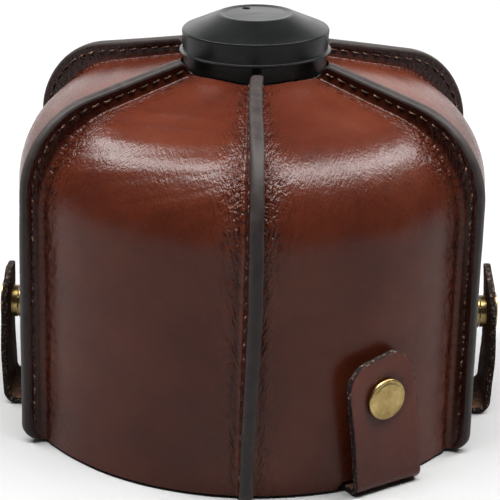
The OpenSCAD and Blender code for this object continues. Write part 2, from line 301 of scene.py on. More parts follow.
def stitch_places():
    """Distances of the stitches' middles, evenly spaced along the sewn line itself."""
    s = np.linspace(5.2, SIDE_LEN - 3.2, 700)
    r, z, turn = meridian(s)
    out = fin_height(s) - STITCH_DEPTH
    line = np.stack([r + out * np.cos(turn), z + out * np.sin(turn)], 1)
    run = np.concatenate([[0], np.cumsum(np.linalg.norm(np.diff(line, axis=0), axis=1))])
    count = int(run[-1] / STITCH_PITCH) + 1
    return np.interp(np.arange(count) * run[-1] / (count - 1), run, s)


def fin_sway(seam, s):
    """Sideways wander of a fin's outer edge. The front one leans over at the shoulder."""
    seam = seam % 360
    if seam == 0:
        return np.interp(s, *zip(*FRONT_SWAY)) + 0.1 * noise(s / 6.5, 0.0, 9)
    return 0.45 * noise(s / 21.0, seam * 0.31, 5) + 0.14 * noise(s / 6.5, seam * 0.17, 9)


def seam_point(seam, s, x, n, blend=1.0):
    """A point x beside a seam's plane and n out from the panel. blend is 1 on the fin and 0 on the panel."""
    s, x, n, blend = np.broadcast_arrays(*(np.asarray(a, float) for a in (s, x, n, blend)))
    r, z, turn = meridian(s)
    h = np.maximum(fin_height(s), 0.5)
    x_true = x + fin_sway(seam, s) * np.clip(n / h, 0, 1) ** 1.6 * blend * np.clip(h / FIN_H, 0, 1)
    base = np.sqrt(np.maximum(r * r - x * x, 0))
    azimuth = np.arcsin(np.clip(x / r, -1, 1)) * (1 - blend)
    out = n * np.cos(turn)
    forward = base + out * np.cos(azimuth)
    side = x_true + out * np.sin(azimuth)
    a = math.radians(seam)
    return np.stack([
        forward * math.sin(a) + side * math.cos(a),
        -forward * math.cos(a) + side * math.sin(a),
        z + n * np.sin(turn),
    ], -1)


def lower_edge(verts):
    """Draws the cover's bottom edge down, except where a strap passes under it."""
    drawn, clear, fade = 17, 2.2, 1.4
    x, y, z = verts[..., 0], verts[..., 1], verts[..., 2]
    azimuth = np.degrees(np.arctan2(x, -y))
    spare = 0 * z
    for tab in TABS.values():
        apart = np.radians(np.abs((azimuth - tab + 180) % 360 - 180)) * np.hypot(x, y)
        spare = np.maximum(spare, np.clip((STRAP_W / 2 + clear - apart) / fade, 0, 1))
    drop = EDGE_DROP * (1 - spare) * np.clip((drawn - z) / (drawn - COVER_LOW), 0, 1)
    return np.stack([x, y, z - drop], -1)


STITCHES = stitch_places()


def rows_along():
    """Distances of the mesh rows, close together at both ends."""
    ends = np.array([0, 0.08, 0.22, 0.45, 0.8, 1.25, 1.8, 2.5, 3.3])
    middle = np.linspace(4.0, SIDE_LEN - 4.0, 170)
    return np.concatenate([ends, middle, (SIDE_LEN - ends)[::-1]])


def wrinkles(seam, side, s, x, first):
    """Height of the puckers along the sewn line and of the creases that climb away from it."""
    key = seam * 0.7 + side * 3.1
    away = np.maximum(x - first, 0)
    strength = 0.6 + 0.5 * noise(s / 8.0, key, 21)
    beat = np.interp(s + 0.5 * away, STITCHES, np.arange(len(STITCHES)))
    pucker = np.sin(2 * math.pi * beat + 1.2 * noise(s / 5.0, key, 3)) * np.exp(-away / PUCKER_REACH)
    creases = fractal((away - CREASE_SLANT * s) / 1.5 + key, (s + CREASE_SLANT * away) / 6.5, 31)
    creases = creases * np.exp(-away / CREASE_REACH)
    upper = np.exp(-(((s - WALL_LEN + 10) / 15.0) ** 2))
    steep = fractal((away - STEEP_SLANT * s) / 1.8 + key, (s + STEEP_SLANT * away) / 9.0, 37)
    steep = steep * np.exp(-away / STEEP_REACH) * upper
    low_part = np.clip((WALL_LEN + ARC_LEN * 0.7 - s) / 8.0, 0, 1)
    ridge = low_part * (0.12 + 0.12 * noise(s / 2.6, key, 33)) * np.exp(-((away - 1.6) / 1.1) ** 2)
    return PUCKER_H * strength * pucker + strength * (CREASE_H * creases + STEEP_H * steep) + ridge


def panel_relief(gore, azimuth, s):
    """Slow undulation of a panel, the fine folds over its shoulder and its raised rim at the opening."""
    r, _, _ = meridian(s)
    across = np.radians(azimuth) * np.maximum(r, 30)
    slow = 0.16 * fractal(across / 17.0 + gore, s / 23.0, 41)
    shoulder = np.exp(-(((s - WALL_LEN - ARC_LEN * 0.45) / 9.0) ** 2))
    fine = 0.055 * shoulder * fractal(across / 2.2 + gore * 1.3, s / 7.0, 51)
    rim = np.exp(-(SIDE_LEN - s) / 4.0)
    mouth = rim * (0.55 + 0.14 * fractal(across / 3.0 + gore * 2.1, s / 2.5, 61))
    return slow + fine + mouth


def half_gore(gore, seam, side):
    """Outer and inner grids from a seam to the middle of a panel, which columns are cut edge, and point values.

    side is 1 right of the seam and -1 left of it.
    """
    s = rows_along()[:, None]
    h = fin_height(s)
    fillet = np.minimum(FIN_FILLET, 0.5 * h) * (1 - 0.6 * np.clip((s - WALL_LEN - ARC_LEN * 0.6) / 9.0, 0, 1))
    r, _, _ = meridian(s)
    half_angle = math.pi / len(SEAMS)
    cols, inner, bare = [], [], []

    def column(x, n, x_in, n_in, blend, edge):
        """One column of the grids: its outer point, the inner one under it, and whether it is cut edge."""
        cols.append((x + 0 * s, n + 0 * s, blend))
        inner.append((x_in + 0 * s, n_in + 0 * s, blend))
        bare.append(edge)

    small = np.minimum(1.0, h / 2.0)
    for x, drop in FIN_EDGE:
        column(x, h - drop * small, 0.0, h - (0.24 + drop) * small, 1.0, 1.0)
    top, foot = h - 1.1 * small, fillet
    for t in np.linspace(0, 1, 9):
        groove = 0.13 * np.exp(-(((top * (1 - t) + foot * t) - (h - STITCH_DEPTH)) / 0.5) ** 2)
        column(FIN_T - groove, top * (1 - t) + foot * t, 0.0, top * (1 - t) * 0.95 - 0.05, 1.0, 0.0)
    for t in np.linspace(0, 1, 7)[1:]:
        a = t * math.pi / 2
        x = FIN_T + fillet * (1 - math.cos(a))
        column(x, fillet * (1 - math.sin(a)), x * t * 0.8, -0.05 - (LEATHER_T - 0.05) * t, 1 - t, 0.0)
    first = FIN_T + fillet
    start = np.arcsin(first / r)
    for t in np.linspace(0, 1, 54)[1:]:
        azimuth = start + (half_angle - start) * t**1.25
        x = r * np.sin(azimuth)
        fade = np.clip((1 - t) / 0.3, 0, 1) * np.clip((SIDE_LEN - s) / 2.0, 0.3, 1)
        up = wrinkles(seam, side, s, x, first) * fade * np.clip((x - first) / 0.8, 0, 1)
        place = np.degrees(azimuth) * side + seam
        up = up + panel_relief(gore, place, s) * np.clip((x - first) / 6, 0, 1)
        column(x, up, x, up - LEATHER_T, 0.0, 0.0)
    outer = np.stack([seam_point(seam, s[:, 0], side * x[:, 0], n[:, 0], b) for x, n, b in cols], 1)
    inside = np.stack([seam_point(seam, s[:, 0], side * x[:, 0], n[:, 0], b) for x, n, b in inner], 1)
    values = {
        # relief is the height out from the panel; the leather darkens hollows and the fins' sides from it as painted
        # shade.
        "relief": np.stack([n[:, 0] for x, n, b in cols], 1),
        "seam_x": np.stack([x[:, 0] + np.maximum(n[:, 0] * b, 0) * 0.5 for x, n, b in cols], 1),
        "crinkle": np.stack([
            np.exp(-(np.maximum(x[:, 0] - first[:, 0], 0) / CRINKLE_REACH) ** 1.4) * (1 - 0.75 * b)
            for x, n, b in cols
        ], 1),
    }
    return outer, inside, np.array(bare), values


def make_gore(name, azimuth, materials):
    """One panel of the cover with a fin flange at each side, as one closed leather mesh."""
    left = half_gore(azimuth, azimuth - 30, 1)
    right = half_gore(azimuth, azimuth + 30, -1)
    outer = np.concatenate([left[0], right[0][:, -2::-1]], 1)
    inside = np.concatenate([left[1], right[1][:, -2::-1]], 1)
    bare = np.concatenate([left[2], right[2][-2::-1]])
    values = {key: np.concatenate([left[3][key], right[3][key][:, -2::-1]], 1) for key in left[3]}
    rise = rows_along()[:, None] + 0 * values["relief"]
    # The leather is crinkled most where it is folded over the shoulder.
    fold = np.exp(-(((rise - WALL_LEN - ARC_LEN * 0.5) / 16.0) ** 2))
    values["crinkle"] = values["crinkle"] * (0.34 + 0.66 * fold) + 0.10 * fold
    values["seam_s"] = rise
    rows, cols = outer.shape[:2]
    loop = lower_edge(np.concatenate([outer, inside[:, ::-1]], 1))
    faces = grid_faces(rows, 2 * cols, wrap=True)
    column_of = np.tile(np.arange(2 * cols), rows - 1)
    edge = np.concatenate([bare, np.zeros(cols)])
    both_edge = (edge + np.roll(edge, -1)) / 2 >= 0.99
    material = both_edge.astype(int)[column_of]
    material[column_of == 2 * cols - 1] = 1
    material[column_of == cols - 1] = 1
    caps = []  # faces that close the panel's thickness at its bottom edge and at the opening
    for row in (0, rows - 1):
        for c in range(cols - 1):
            caps.append((row * 2 * cols + c, row * 2 * cols + c + 1,
                         row * 2 * cols + 2 * cols - 2 - c, row * 2 * cols + 2 * cols - 1 - c))
    all_faces = np.concatenate([faces, np.array(caps)])
    material = np.concatenate([material, np.ones(len(caps), int)])
    obj = new_object(name, loop.reshape(-1, 3), all_faces, materials, material)
    for key, value in values.items():
        # The inner face carries a relief of -1, so the leather paints it with the full painted shade of a hollow.
        back = value[:, ::-1] if key.startswith("seam") else 0 * value - (key == "relief")
        add_value(obj, key, np.concatenate([value, back], 1).ravel())
    tidy(obj, 60)
    return obj


def make_thread(name, seam, materials):
    """The surface stitches on both faces of a fin, each sunk into its holes at the ends."""
    rings, around = 9, 8
    last = len(STITCHES) - 1
    verts, faces = [], []
    for side in (-1, 1):
        for k, middle in enumerate(STITCHES):
            apart = STITCHES[min(k + 1, last)] - STITCHES[max(k - 1, 0)]
            reach = apart if 0 < k < last else 2 * apart
            t = np.linspace(-1, 1, rings)
            wobble = 0.12 * noise(k * 0.9, seam * 0.2 + side, 71)
            s = middle + t * reach * 0.20
            n = fin_height(s) - STITCH_DEPTH + 0.10 * t + wobble
            lift = FIN_T + (-0.1 if seam == 0 and side < 0 else 0.08) - 0.62 * np.abs(t) ** 3.0
            thick = THREAD_R * (1 - 0.25 * np.abs(t) ** 2)
            for i in range(rings):
                for j in range(around):
                    a = 2 * math.pi * j / around + 0.9 * t[i]
                    bump = 1 + 0.10 * math.cos(2 * a + 5 * t[i])
                    x = lift[i] + thick[i] * math.cos(a) * bump
                    verts.append(seam_point(seam, s[i], side * x, n[i] + thick[i] * math.sin(a) * bump, 1.0))
            start = len(verts) - rings * around
            faces += grid_faces(rings, around, start, wrap=True).tolist()
            faces.append(list(range(start, start + around)))
            faces.append(list(range(len(verts) - around, len(verts))))
    obj = new_object(name, lower_edge(np.array(verts)), faces, materials)
    tidy(obj, 80)
    return obj


# ---- straps ----
def strap_line(length):
    """Middle of the strap's thickness: radius and height at a distance from the centre, and its outward normal."""
    bend = FOLD_R * math.pi / 2
    length = np.asarray(length, float)
    turn = np.clip((length - STRAP_FLAT) / FOLD_R, 0, math.pi / 2)
    up = np.maximum(length - STRAP_FLAT - bend, 0)
    r = np.minimum(length, STRAP_FLAT) + FOLD_R * np.sin(turn)
    z = STRAP_T / 2 + FOLD_R * (1 - np.cos(turn)) + up
    lean = 0.5 * np.clip((up - 18) / 12, 0, 1) ** 2
    belly = 0.25 * np.sin(np.clip(up / 18, 0, 1) * math.pi)
    r = r - lean + belly
    return r, z, np.sin(turn), -np.cos(turn)


def hump(length, over):
    """Height added where one strap crosses over the other."""
    if not over:
        return 0 * length
    t = np.clip((26.0 - length) / 9.0, 0, 1)
    return (STRAP_T + 0.06) * t * t * (3 - 2 * t)


def tab_sides(z):
    """Left and right limits of an upright tab at a height, before it leans over. The left corner is the larger."""
    half, small, large, drop, slope = STRAP_W / 2, 5.0, 7.5, 1.4, math.radians(8)

    def arc(x, z, radius, start, end, steps):
        """Points of an arc round a centre."""
        return [(x + radius * math.cos(a), z + radius * math.sin(a)) for a in np.linspace(start, end, steps)]

    right = [(half, 0)] + arc(half - small, TAB_TOP - small, small, 0, math.pi / 2, 14)
    left = [(-half, 0)] + arc(large - half, TAB_TOP - large - drop, large, math.pi, math.pi / 2 + slope, 14)
    left += arc(half - small, TAB_TOP - small, small, math.pi / 2 + slope, math.pi / 2, 4)
    left, right = np.array(left), np.array(right)
    return np.interp(z, left[:, 1], left[:, 0]), np.interp(z, right[:, 1], right[:, 0])


def make_strap(name, place, over, materials):
    """Half of a strap from under the middle of the can to the rounded tip of its tab, as one leather strip."""
    azimuth = TABS[place]
    total = STRAP_FLAT + FOLD_R * math.pi / 2 + (TAB_TOP - STRAP_T / 2 - FOLD_R)
    along = np.concatenate([
        np.linspace(0, STRAP_FLAT - 2, 40),
        np.linspace(STRAP_FLAT - 1.6, total - TAB_CORNER - 0.2, 80),
        total - TAB_CORNER + TAB_CORNER * np.sin(np.linspace(0, math.pi / 2 - 0.03, 26)),
    ])
    r, z, nr, nz = strap_line(along)
    z = z + hump(along, over)
    left, right = tab_sides(np.clip(along - total + TAB_TOP, 0, TAB_TOP))
    ragged = np.clip((along - STRAP_FLAT) / 8, 0, 1)
    left = left + 0.10 * noise(along / 5.0, azimuth * 0.1, 81) + 0.05 * ragged * noise(along / 0.9, azimuth, 82)
    right = right + 0.10 * noise(along / 5.0, azimuth * 0.1, 83) + 0.05 * ragged * noise(along / 0.9, azimuth, 84)
    shift = -np.maximum(along - total + TAB_TOP - 2.0, 0) * math.tan(TAB_LEAN[place])
    middle, half_w = (left + right) / 2 + shift, (right - left) / 2
    cols, turns, round_off = 26, 9, 0.36
    # Points round the section: place across, place through the thickness, and 0 for face, 1 for cut edge, 2 for back.
    ring = [(t, 1.0, 0) for t in np.linspace(-1, 1, cols)]
    ring += [(1.0, math.cos(a), 1) for a in np.linspace(0, math.pi, turns)[1:-1]]
    ring += [(t, -1.0, 2) for t in np.linspace(1, -1, cols)]
    ring += [(-1.0, math.cos(a), 1) for a in np.linspace(math.pi, 0, turns)[1:-1]]
    a0 = math.radians(azimuth)
    out = np.array([math.sin(a0), -math.cos(a0), 0])
    side = np.array([math.cos(a0), math.sin(a0), 0])
    verts = np.zeros((len(along), len(ring), 3))
    relief = np.zeros((len(along), len(ring)))
    above = np.clip((z - 8) / 6, 0, 1)
    curl_in = np.clip((along - STRAP_FLAT + 3) / 6, 0, 1)
    for j, (w, level, kind) in enumerate(ring):
        reach = np.maximum(half_w - round_off, 0.02)
        bulge = round_off * math.sqrt(max(0.0, 1 - level * level)) if kind == 1 else 0.0
        tuft = np.maximum(noise(along / 0.45, level * 2 + azimuth, 85), 0) ** 2
        fuzz = 0.22 * ragged * tuft * (kind == 1)
        across = w * reach + np.sign(w) * (bulge + fuzz)
        from_snap = np.hypot(middle + across - SNAP_SIDE[place], z - SNAP_Z)
        dent = -0.16 * np.exp(-((from_snap - SNAP_R) / 1.3) ** 2) * above
        curl = (0.34 * (across / 9.4) ** 2 - 0.1) * above + 0.1 * noise(along / 6.0, across / 5.0 + azimuth, 91)
        spread = STRAP_T / 2 * level + (dent * (1 if level > 0 else 0.4) + curl) * curl_in
        p = (r + nr * spread)[:, None] * out + (middle + across)[:, None] * side
        p[:, 2] = z + nz * spread
        verts[:, j] = p
        # The dent round the snap gives a negative relief, which the leather turns into painted shade.
        relief[:, j] = dent * 2
    rows, n = verts.shape[:2]
    faces = grid_faces(rows, n, wrap=True).tolist() + [[row * n + c for c in range(n)] for row in (0, rows - 1)]
    kinds = np.array([kind for _, _, kind in ring])
    cut = (kinds == 1) | (np.roll(kinds, -1) == 1)
    material = np.concatenate([np.tile(np.where(cut, 1, kinds), rows - 1), [1, 1]])
    obj = new_object(name, verts.reshape(-1, 3), faces, materials, material)
    add_value(obj, "relief", relief.ravel())
    tidy(obj, 55)
    return obj


# ---- materials ----
def shader(name, **sockets):
    """A material with a node tree, its nodes, links and surface shader."""
    mat = bpy.data.materials.new(name)
    mat.use_nodes = True
    nodes, links = mat.node_tree.nodes, mat.node_tree.links
    surface = nodes["Principled BSDF"]
    for key, value in sockets.items():
        surface.inputs[key.replace("_", " ")].default_value = value
    return mat, nodes, links, surface


def srgb(r, g, b):
    """Linear colour of an sRGB colour given from 0 to 255."""
    out = []
    for c in (r, g, b):
        c = c / 255
        out.append(c / 12.92 if c <= 0.04045 else ((c + 0.055) / 1.055) ** 2.4)
    return (*out, 1.0)


def connect(links, surface, colour, rough, normal):
    """Feeds a surface shader its colour, roughness and normal."""
    links.new(colour, surface.inputs["Base Color"])
    links.new(rough, surface.inputs["Roughness"])
    links.new(normal, surface.inputs["Normal"])


def attribute_node(nodes, name):
    """A number that the mesh carries at each point."""
    node = nodes.new("ShaderNodeAttribute")
    node.attribute_name = name
    return node.outputs["Fac"]


def noise_node(nodes, links, scale, detail, rough, stretch=None, distortion=0.0, source=None):
    """Noise in the object's own space, in metres, or in the space that another output gives."""
    if source is None:
        source = nodes.new("ShaderNodeTexCoord").outputs["Object"]
    tex = nodes.new("ShaderNodeTexNoise")
    tex.inputs["Scale"].default_value = scale
    tex.inputs["Detail"].default_value = detail
    tex.inputs["Roughness"].default_value = rough
    tex.inputs["Distortion"].default_value = distortion
    if stretch:
        mapping = nodes.new("ShaderNodeMapping")
        mapping.inputs["Scale"].default_value = stretch
        links.new(source, mapping.inputs["Vector"])
        source = mapping.outputs["Vector"]
    links.new(source, tex.inputs["Vector"])
    return tex.outputs["Fac"]


def ramp_node(nodes, links, source, stops):
    """Colours placed along a value from 0 to 1."""
    ramp = nodes.new("ShaderNodeValToRGB")
    items = ramp.color_ramp.elements
    while len(items) < len(stops):
        items.new(0.5)
    for item, (place, colour) in zip(items, stops):
        item.position = place
        item.color = colour
    links.new(source, ramp.inputs["Fac"])
    return ramp.outputs["Color"]


def range_node(nodes, links, source, low, high, to_low, to_high):
    """A value moved from one range to another and held inside it."""
    node = nodes.new("ShaderNodeMapRange")
    for key, value in (("From Min", low), ("From Max", high), ("To Min", to_low), ("To Max", to_high)):
        node.inputs[key].default_value = value
    links.new(source, node.inputs["Value"])
    return node.outputs["Result"]


def mix_node(nodes, links, factor, first, second):
    """A colour that goes from a linked first one to a constant second one, with a factor."""
    node = nodes.new("ShaderNodeMix")
    node.data_type = "RGBA"
    links.new(factor, node.inputs[0])
    links.new(first, node.inputs[6])
    node.inputs[7].default_value = second
    return node.outputs[2]


def bump_node(nodes, links, height, strength, distance, normal=None):
    """A normal bent by a height, on top of another normal if there is one."""
    node = nodes.new("ShaderNodeBump")
    node.inputs["Strength"].default_value = strength
    node.inputs["Distance"].default_value = distance
    links.new(height, node.inputs["Height"])
    if normal is not None:
        links.new(normal, node.inputs["Normal"])
    return node.outputs["Normal"]


def scaled(nodes, links, height, mask):
    """A height times a mask."""
    node = nodes.new("ShaderNodeMath")
    node.operation = "MULTIPLY"
    links.new(height, node.inputs[0])
    links.new(mask, node.inputs[1])
    return node.outputs["Value"]


def seam_creases(nodes, links):
    """Fine creases that climb away from a seam, from each point's distance out from it and up along it."""
    out, up = attribute_node(nodes, "seam_x"), attribute_node(nodes, "seam_s")
    slant = nodes.new("ShaderNodeMath")
    slant.operation = "MULTIPLY_ADD"
    slant.inputs[1].default_value = -CREASE_SLANT
    links.new(up, slant.inputs[0])
    links.new(out, slant.inputs[2])
    place = nodes.new("ShaderNodeCombineXYZ")
    links.new(slant.outputs["Value"], place.inputs["X"])
    links.new(up, place.inputs["Y"])
    return noise_node(nodes, links, 1.0, 1.5, 0.7, stretch=(1.5, 0.36, 1), distortion=0.6,
                      source=place.outputs["Vector"])


def leather(name, dark, middle, light):
    """Waxed leather: mottled colour, pebbled grain, creases where it is pulled to a seam, and painted shade in its
    hollows, its creases and on the fins' sides.
    """
    mat, nodes, links, surface = shader(name, Specular_IOR_Level=0.20)
    relief, crinkle = attribute_node(nodes, "relief"), attribute_node(nodes, "crinkle")
    broad = noise_node(nodes, links, 30.0, 3.0, 0.6)
    mottled = noise_node(nodes, links, 260.0, 5.0, 0.62)
    lines = seam_creases(nodes, links)
    # The darkest colour, used for the painted shade on the fins' sides and in the creases.
    painted_shade_colour = tuple(0.4 * c for c in dark[:3]) + (1.0,)

    colour = ramp_node(nodes, links, broad, [(0.30, dark), (0.5, middle), (0.72, light)])
    spots = range_node(nodes, links, mottled, 0.3, 0.75, 0.0, 0.5)
    colour = mix_node(nodes, links, spots, colour, middle)
    # Painted shade: the lower the leather sits in a wrinkle or dent, the darker it is painted.
    hollow = range_node(nodes, links, relief, -0.30, 0.05, 0.8, 0.0)
    colour = mix_node(nodes, links, hollow, colour, dark)
    # Painted shade: the higher the leather stands out from the panel, as on the fins' sides, the darker it is
    # painted.
    raised = range_node(nodes, links, relief, 0.6, 2.2, 0.0, 0.85)
    colour = mix_node(nodes, links, raised, colour, painted_shade_colour)
    # Painted shade in the fine creases beside the seams.
    sunk = range_node(nodes, links, lines, 0.38, 0.50, 1.0, 0.0)
    near = range_node(nodes, links, crinkle, 0.02, 0.30, 0.0, 0.7)
    colour = mix_node(nodes, links, scaled(nodes, links, sunk, near), colour, painted_shade_colour)

    cells = nodes.new("ShaderNodeTexVoronoi")
    cells.feature = "SMOOTH_F1"
    cells.inputs["Scale"].default_value = 1300.0
    links.new(nodes.new("ShaderNodeTexCoord").outputs["Object"], cells.inputs["Vector"])
    pebbles = noise_node(nodes, links, 1500.0, 3.0, 0.7)
    network = noise_node(nodes, links, 900.0, 0.6, 0.5, distortion=1.0)
    normal = bump_node(nodes, links, cells.outputs["Distance"], 0.25, 0.00005)
    normal = bump_node(nodes, links, pebbles, 0.25, 0.00010, normal)
    normal = bump_node(nodes, links, scaled(nodes, links, network, crinkle), 1.0, 0.0007, normal)
    normal = bump_node(nodes, links, scaled(nodes, links, lines, crinkle), 1.0, 0.0008, normal)
    normal = bump_node(nodes, links, broad, 0.15, 0.0006, normal)

    rough = range_node(nodes, links, mottled, 0.3, 0.7, 0.24, 0.30)
    connect(links, surface, colour, rough, normal)
    return mat


def edge_paint(name, low, high):
    """Painted and burnished cut edge of the leather."""
    mat, nodes, links, surface = shader(name, Specular_IOR_Level=0.16)
    mottled = noise_node(nodes, links, 320.0, 4.0, 0.6)
    colour = ramp_node(nodes, links, mottled, [(0.32, low), (0.68, high)])
    rough = range_node(nodes, links, mottled, 0.3, 0.7, 0.44, 0.58)
    connect(links, surface, colour, rough, bump_node(nodes, links, mottled, 0.3, 0.0002))
    return mat


def fibres(name, low, high, rough_low=0.7, share=0.5, scale=900.0):
    """Raw leather or thread: dark body with lighter strands over a share of it."""
    mat, nodes, links, surface = shader(name, Specular_IOR_Level=0.12)
    strands = noise_node(nodes, links, scale, 6.0, 0.75)
    colour = ramp_node(nodes, links, strands, [(0.58 - 0.25 * share, low), (0.68 - 0.25 * share, high)])
    rough = range_node(nodes, links, strands, 0.3, 0.7, rough_low, 0.92)
    connect(links, surface, colour, rough, bump_node(nodes, links, strands, 0.5, 0.0003))
    return mat


def moulded(name, low, high, rough=0.42, shine=0.5):
    """Moulded plastic with faint flow marks and a fine matt texture."""
    mat, nodes, links, surface = shader(name, Specular_IOR_Level=shine)
    flow = noise_node(nodes, links, 60.0, 3.0, 0.5, stretch=(1, 1, 3))
    fine = noise_node(nodes, links, 2600.0, 3.0, 0.6)
    colour = ramp_node(nodes, links, flow, [(0.3, low), (0.7, high)])
    change = range_node(nodes, links, flow, 0.3, 0.7, rough - 0.06, rough + 0.08)
    connect(links, surface, colour, change, bump_node(nodes, links, fine, 0.12, 0.00008))
    return mat


def metal(name, low, high, rough=0.35, scale=420.0, depth=0.2):
    """Metal with tarnish: two colours, changing gloss and small dents."""
    mat, nodes, links, surface = shader(name, Metallic=1.0)
    patches = noise_node(nodes, links, scale, 5.0, 0.65)
    colour = ramp_node(nodes, links, patches, [(0.34, low), (0.66, high)])
    change = range_node(nodes, links, patches, 0.3, 0.7, rough + 0.12, rough - 0.08)
    connect(links, surface, colour, change, bump_node(nodes, links, patches, depth, 0.0001))
    return mat


def painted_steel(name, low, high):
    """Thin enamel over steel, with faint orange peel."""
    mat, nodes, links, surface = shader(name, Metallic=0.3, Coat_Weight=0.4, Coat_Roughness=0.12)
    peel = noise_node(nodes, links, 700.0, 2.0, 0.5)
    patches = noise_node(nodes, links, 90.0, 4.0, 0.6)
    colour = ramp_node(nodes, links, patches, [(0.3, low), (0.7, high)])
    change = range_node(nodes, links, patches, 0.3, 0.7, 0.28, 0.42)
    connect(links, surface, colour, change, bump_node(nodes, links, peel, 0.08, 0.0001))
    return mat


LEATHER = leather("panel_leather", srgb(50, 18, 11), srgb(68, 28, 16), srgb(83, 40, 26))
STRAP = leather("strap_leather", srgb(54, 23, 16), srgb(74, 34, 25), srgb(92, 46, 35))
EDGE = edge_paint("edge_paint", srgb(36, 31, 30), srgb(50, 44, 42))
RAW = fibres("raw_edge", srgb(24, 17, 16), srgb(150, 128, 112), share=0.12, scale=1500.0)
FLESH = fibres("flesh_side", srgb(64, 42, 31), srgb(104, 76, 58))
THREAD = fibres("waxed_thread", srgb(40, 23, 18), srgb(140, 110, 92), 0.4, share=0.22, scale=1300.0)
BLACK = moulded("cap_plastic", srgb(7, 8, 8), srgb(12, 13, 13), 0.30, 0.24)
WHITE = moulded("housing_plastic", srgb(205, 205, 198), srgb(222, 221, 214))
RUBBER = moulded("gasket_rubber", srgb(18, 18, 18), srgb(30, 30, 30), 0.7)
BRASS = metal("antique_brass", srgb(128, 106, 62), srgb(176, 154, 104), 0.30, 260.0, 0.12)
GOLD = metal("valve_brass", srgb(150, 118, 62), srgb(196, 160, 96), 0.3)
PLATED = metal("plated_steel", srgb(148, 146, 140), srgb(196, 194, 188), 0.3, 200.0, 0.1)
WIRE = metal("spring_wire", srgb(120, 120, 124), srgb(176, 176, 180), 0.25, 300.0, 0.1)
ENAMEL = painted_steel("can_enamel", srgb(158, 160, 164), srgb(184, 186, 190))

# ---- the cover ----
for name, azimuth in GORES.items():
    piece = make_gore("leather_" + name, azimuth, [LEATHER, EDGE])
    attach(piece, "cartridge_and_cover")
    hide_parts(name)

for name, azimuth in THREADS.items():
    piece = make_thread("stitches_" + name, azimuth, [THREAD])
    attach(piece, "cartridge_and_cover")
    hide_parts(name)

# ---- straps and tabs ----
for place, azimuth in TABS.items():
    over = place in ("right", "left")
    piece = make_strap("strap_" + place, place, over, [STRAP, RAW, FLESH])
    a = math.radians(azimuth)
    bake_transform(piece)
    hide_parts("tab_" + place, "strap_b_base" if over else "strap_a_base")


# ---- valve cap ----
CAP_TIP = math.radians(2.6)
CAP_LEVEL = math.radians(1.15)


def cap_outline():
    """The cap's section: dished top, raised ring, cone, lip half way up the side, skirt and hollow inside."""
    top, low = CAP_TOP, CAP_LOW
    return rounded([
        (0, top - 0.30, 0), (7.4, top - 0.28, 1.2), (8.7, top - 0.02, 0.35), (9.2, top - 0.12, 0.5),
        (17.45, top - 3.75, 0.2), (17.65, top - 4.15, 0.2), (17.42, low + 5.05, 0.15), (18.15, low + 4.93, 0.05),
        (18.2, low + 4.72, 0.05), (17.3, low + 4.6, 0.2), (17.12, low + 0.3, 0.2), (16.9, low, 0.2),
        (16.3, low, 0.15), (16.25, low + 8.6, 0.4), (8.4, top - 1.7, 0.8), (0, top - 1.6, 0),
    ])


def cap_shape(r, z, t):
    """A small gate mark pressed into the top, a slightly uneven rim, and a cap that sits a little aslant."""
    x, y = r * np.sin(t), -r * np.cos(t)
    near = np.exp(-(((x + 2.4) ** 2 + (y - 5.5) ** 2) / 0.80**2) ** 3)
    z = z - 1.25 * near * (z > CAP_TOP - 1.2)
    rim = np.exp(-(((z - CAP_TOP + 3.95) / 0.25) ** 2)) * (r > 17)
    r = r + 0.05 * rim * np.maximum(noise(t * 60, z * 0 + 2.0, 77), 0) ** 2
    z = z + (-y * math.tan(CAP_TIP) + x * math.tan(CAP_LEVEL)) * np.clip(r / 3, 0, 1)
    return r, z


def densified(outline, step):
    """An outline with more points along its straight stretches, about a step apart."""
    out = [outline[0]]
    for p, q in zip(outline[:-1], outline[1:]):
        count = max(1, int(np.linalg.norm(q - p) / step))
        out += [p + (q - p) * k / count for k in range(1, count + 1)]
    return np.array(out)


cap = revolve("valve_dust_cap", densified(cap_outline(), 0.4), [BLACK], 240, 28, shape=cap_shape)
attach(cap, "cap")
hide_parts("valve_cap")

# ---- snap caps ----
BUTTON = rounded([
    (0, 1.06, 0), (3.7, 0.98, 1.0), (4.25, 0.80, 0.3), (4.5, 0.88, 0.25), (4.85, 0.80, 0.2),
    (SNAP_R, 0.42, 0.2), (4.9, 0.02, 0.1), (4.4, 0.0, 0.1), (1.5, 0.0, 0), (1.5, -2.0, 0), (0, -2.0, 0),
], 6)
for place, azimuth in TABS.items():
    where = np.array([SNAP_SIDE[place], SNAP_Z, TAB_OUT])
    piece = revolve("snap_button_" + place, BUTTON, [BRASS], 72, 50,
                    place=lambda v, a=azimuth, w=where: outward(a, v + w))
    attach(piece, "tab_%s_body" % place)
    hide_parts("snap_cap_" + place)


